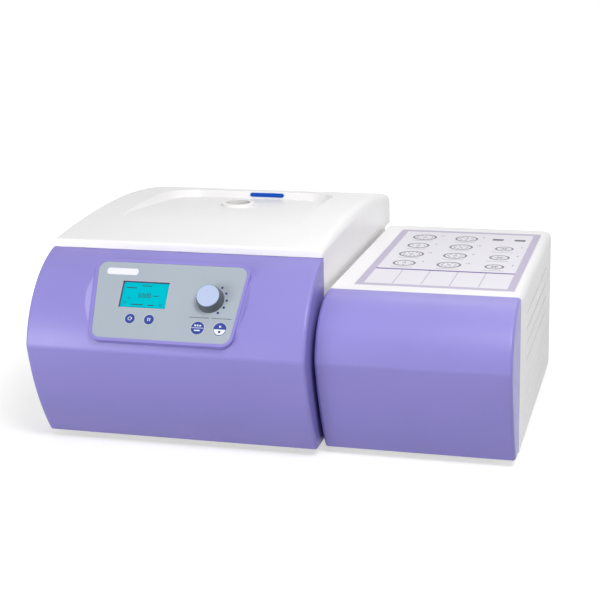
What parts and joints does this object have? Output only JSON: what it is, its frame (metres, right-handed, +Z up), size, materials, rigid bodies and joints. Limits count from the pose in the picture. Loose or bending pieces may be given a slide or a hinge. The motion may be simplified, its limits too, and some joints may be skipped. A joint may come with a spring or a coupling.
{
  "type": "refrigerated centrifuge",
  "caption": "Bench centrifuge with a hinged full-width lid over a chilled rotor chamber, a leaning control panel with display, knob and keys, and a cooling unit beside it on one base.",
  "frame": {"origin": "on the bench, under the middle of the whole machine's bounding box", "axes": "+X to the right as seen from the front, +Y towards the back, +Z up"},
  "size_m": [0.71, 0.6208, 0.3175],
  "materials": {
    "anodised": "anodised rotor, dark blue grey",
    "black_enamel": "enamelled steel, black",
    "black_plastic": "moulded, black",
    "blue_plastic": "moulded bar, blue",
    "circuit_board": "circuit board, green",
    "clear_glass": "clear disc",
    "copper": "copper tube",
    "display_glass": "clear window over a cyan display",
    "foam": "rigid foam, cream",
    "foot_rubber": "moulded, black",
    "grey_plastic": "moulded, grey",
    "iron_housing": "cast, grey",
    "knob_face": "disc, pale blue grey",
    "label_film": "printed film",
    "lavender_shell": "satin moulded plastic, lavender",
    "liner_metal": "brushed sheet",
    "navy_plastic": "printed key, navy",
    "panel_film": "printed film, blue grey",
    "seal_rubber": "moulded seal, grey",
    "stainless": "brushed stainless steel",
    "steel_shaft": "ground steel",
    "white_cabinet": "powder coated sheet, cool white",
    "white_hood": "satin moulded plastic, cool white",
    "winding": "varnished winding",
    "zinc_plate": "zinc plated sheet"
  },
  "bodies": {
    "housing": {"front_cover": "lavender_shell", "side_front_cover": "lavender_shell", "control_overlay": "panel_film", "display_window": "display_glass", "display_module": "black_plastic", "display_board": "circuit_board", "encoder_body": "zinc_plate", "base_frame": "white_cabinet", "rubber_feet": "foot_rubber", "left_side_panel": "white_cabinet", "right_side_panel": "white_cabinet", "rear_panel": "white_cabinet", "chamber_deck": "white_cabinet", "rotor_chamber": "stainless", "evaporator_coil": "copper", "insulation_jacket": "foam", "motor_dampers": "foot_rubber", "motor_housing": "iron_housing", "motor_stator": "winding", "motor_bearings": "steel_shaft", "shaft_boot": "seal_rubber", "latch_solenoid": "zinc_plate", "hinge_brackets": "zinc_plate", "hinge_pins": "steel_shaft", "control_board": "circuit_board", "power_inlet": "black_plastic", "switch_bezel": "black_plastic", "side_cabinet": "white_cabinet", "side_rear_panel": "white_cabinet", "chart_label": "label_film", "compressor": "black_enamel", "compressor_mounts": "foot_rubber", "condenser_fins": "liner_metal", "condenser_tube": "copper", "fan_shroud": "black_enamel", "fan_motor": "black_plastic", "refrigerant_pipes": "copper", "filter_drier": "copper"},
    "lid": {"lid_hood": "white_hood", "lid_liner": "liner_metal", "lid_gasket": "seal_rubber", "window_ring": "white_hood", "sight_glass": "clear_glass", "accent_bar": "blue_plastic", "lid_striker": "zinc_plate", "hinge_arms": "zinc_plate"},
    "rotor_drive": {"drive_shaft": "steel_shaft", "motor_armature": "steel_shaft", "rotor": "anodised", "rotor_nut": "stainless"},
    "condenser_fan": {"fan_blades": "black_plastic"},
    "speed_knob": {"control_knob": "grey_plastic", "knob_cap": "knob_face", "knob_spindle": "steel_shaft"},
    "short_spin_key": {"key_short_spin": "navy_plastic"},
    "brake_key": {"key_brake": "navy_plastic"},
    "program_key": {"key_program": "navy_plastic"},
    "start_stop_key": {"key_start_stop": "navy_plastic"},
    "latch": {"latch_bolt": "steel_shaft"},
    "power_switch": {"switch_rocker": "black_plastic"}
  },
  "joints": [
    {"name": "lid_hinge", "type": "hinge", "parent": "housing", "child": "lid", "pos_m": [-0.143, 0.28541, 0.25], "axis": [-1, 0, 0], "range_deg": [0, 75]},
    {"name": "rotor_spin", "type": "hinge", "parent": "housing", "child": "rotor_drive", "pos_m": [-0.143, 0.08441, 0.149], "axis": [0, 0, 1], "continuous": true},
    {"name": "fan_spin", "type": "hinge", "parent": "housing", "child": "condenser_fan", "pos_m": [0.277, -0.02759, 0.102], "axis": [1, 0, 0], "continuous": true},
    {"name": "knob_turn", "type": "hinge", "parent": "housing", "child": "speed_knob", "pos_m": [-0.0787, -0.26528, 0.23882], "axis": [0, -0.788, 0.6157], "continuous": true},
    {"name": "short_spin_press", "type": "slide", "parent": "housing", "child": "short_spin_key", "axis": [0, 0.788, -0.6157], "range_m": [0, 0.0006], "stiffness_N_per_m": 1500},
    {"name": "brake_press", "type": "slide", "parent": "housing", "child": "brake_key", "axis": [0, 0.788, -0.6157], "range_m": [0, 0.0006], "stiffness_N_per_m": 1500},
    {"name": "program_press", "type": "slide", "parent": "housing", "child": "program_key", "axis": [0, 0.788, -0.6157], "range_m": [0, 0.0006], "stiffness_N_per_m": 1500},
    {"name": "start_stop_press", "type": "slide", "parent": "housing", "child": "start_stop_key", "axis": [0, 0.788, -0.6157], "range_m": [0, 0.0006], "stiffness_N_per_m": 1500},
    {"name": "latch_slide", "type": "slide", "parent": "housing", "child": "latch", "axis": [0, -1, 0], "range_m": [0, 0.01], "stiffness_N_per_m": 150},
    {"name": "power_rocker", "type": "hinge", "parent": "housing", "child": "power_switch", "pos_m": [-0.233, 0.26241, 0.064], "axis": [1, 0, 0], "range_deg": [0, 16]}
  ]
}
